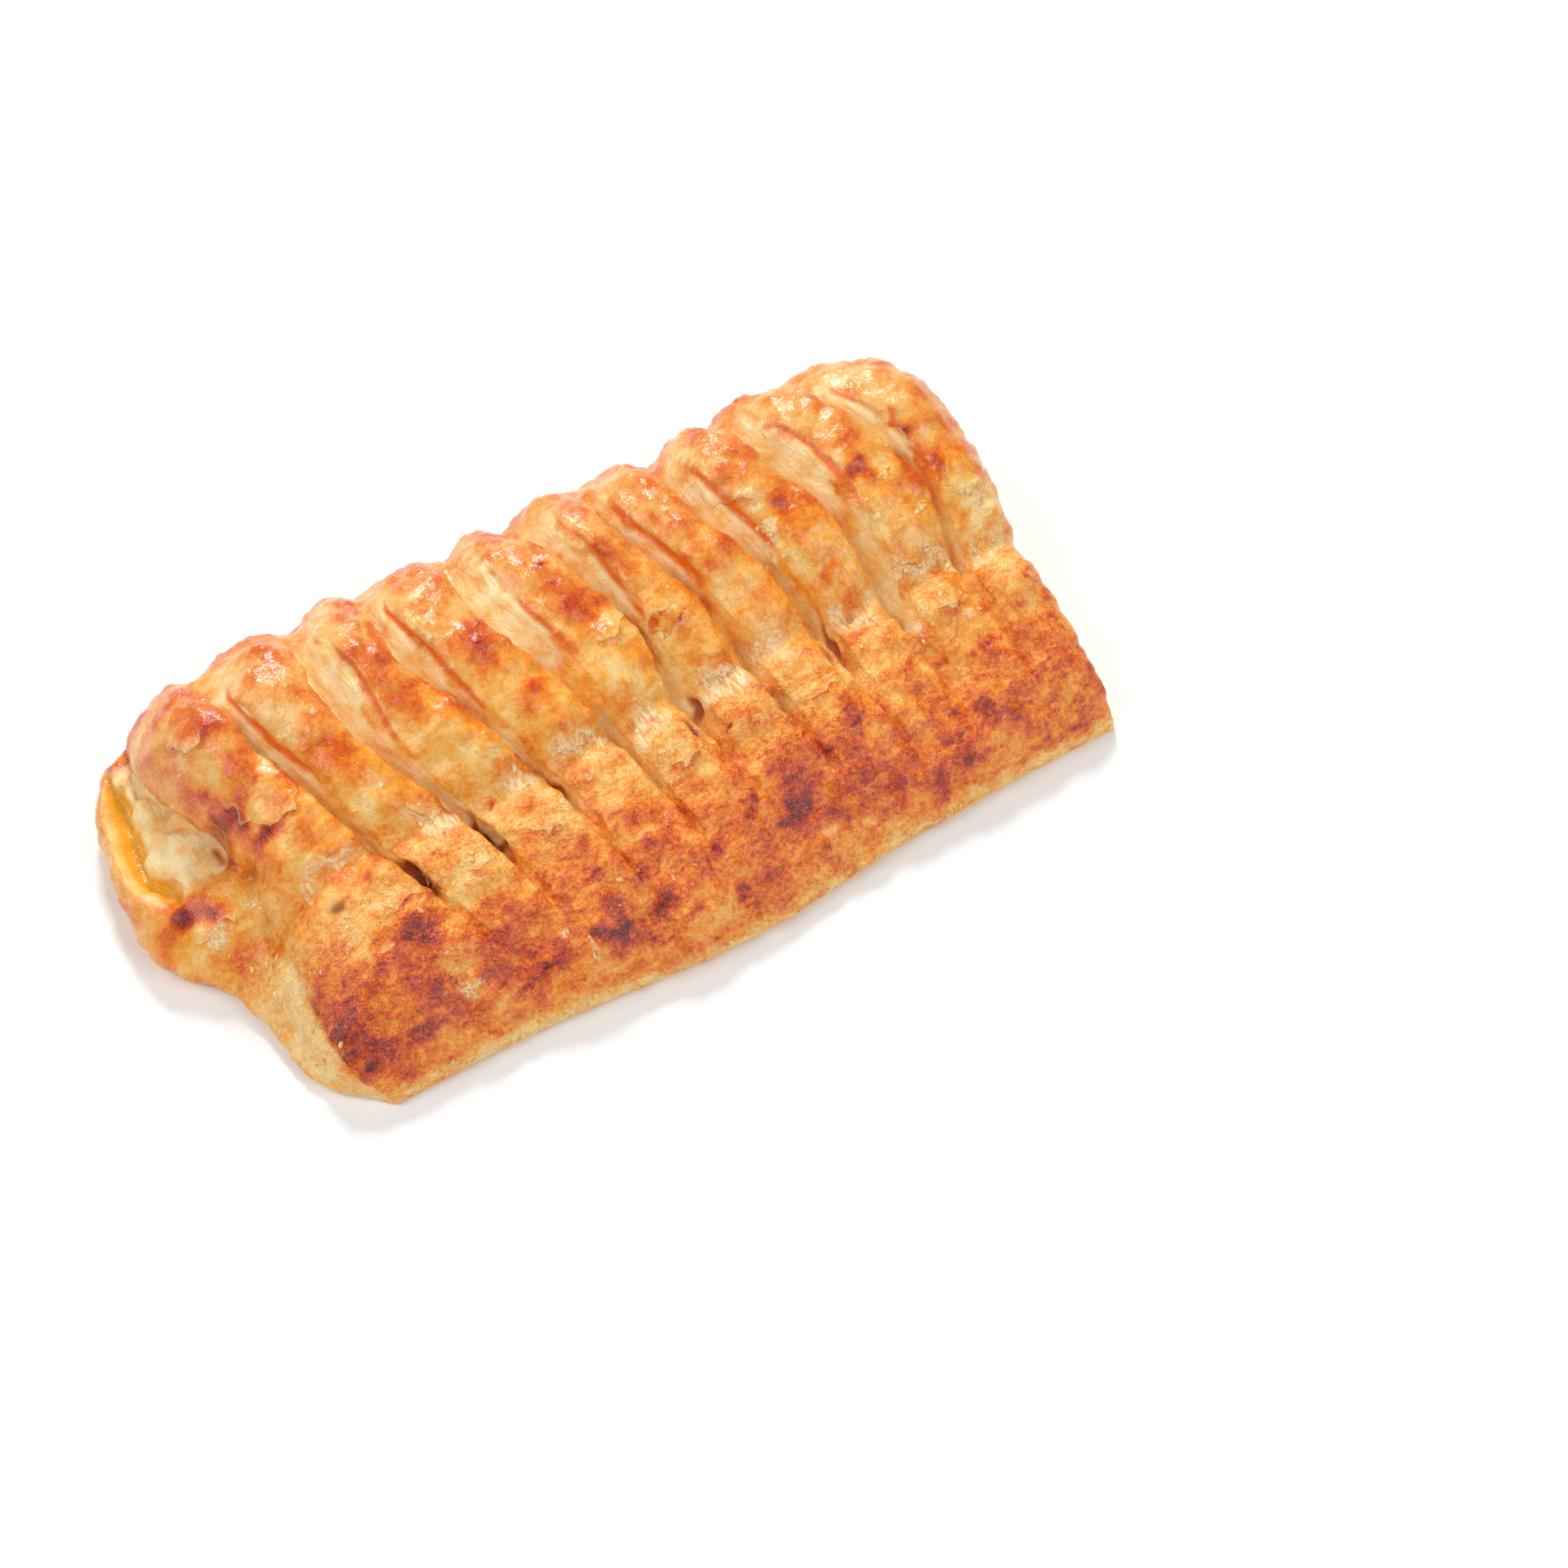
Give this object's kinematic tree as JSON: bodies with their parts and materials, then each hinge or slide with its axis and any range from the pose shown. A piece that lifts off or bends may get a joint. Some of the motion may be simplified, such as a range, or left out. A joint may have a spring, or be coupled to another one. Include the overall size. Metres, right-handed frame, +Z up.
{
  "type": "chicken puff",
  "caption": "Baked puff pastry turnover, folded over a savoury filling, its top slit across into puffed strips above a flat pressed seam.",
  "frame": {"origin": "middle of the puff's bounding box, on the surface that it rests on", "axes": "+X along the length, from the open end to the blunt end, -Y towards the flat pressed seam, +Z up"},
  "size_m": [0.1656, 0.086, 0.0376],
  "materials": {
    "baked_crust": "baked puff pastry with egg wash, golden to red-brown, softly glossy, cream where it is torn or cut"
  },
  "bodies": {
    "root": {"pastry": "baked_crust"}
  },
  "joints": []
}
